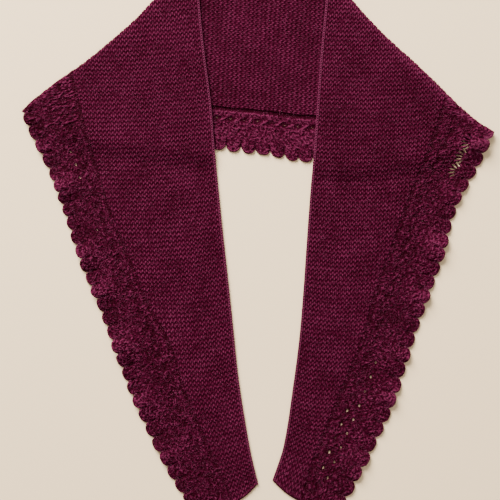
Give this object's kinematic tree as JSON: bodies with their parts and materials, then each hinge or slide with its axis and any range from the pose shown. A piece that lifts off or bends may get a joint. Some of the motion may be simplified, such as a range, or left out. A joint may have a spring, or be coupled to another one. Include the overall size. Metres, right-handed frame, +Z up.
{
  "type": "hand-knitted lace shawlette, laid flat",
  "caption": "Hand-knitted shawlette of garter stitch with a scalloped lace edging, laid flat with both fronts folded down over its back.",
  "frame": {"origin": "on the surface that the garment lies on, under the middle of its outline", "axes": "+X to the right of the garment as it lies and is seen, +Y towards its neck edge, +Z up from the surface"},
  "size_m": [0.4967, 0.5962, 0.0103],
  "materials": {
    "garter_wool": "soft wool yarn in garter stitch, wine red, matte with fine fuzz",
    "lace_wool": "the same wool yarn in open lace stitches, wine red, matte with fine fuzz"
  },
  "bodies": {
    "root": {"back_garter": "garter_wool", "back_edging": "lace_wool", "left_front_garter": "garter_wool", "left_front_edging": "lace_wool", "right_front_garter": "garter_wool", "right_front_edging": "lace_wool"}
  },
  "joints": []
}
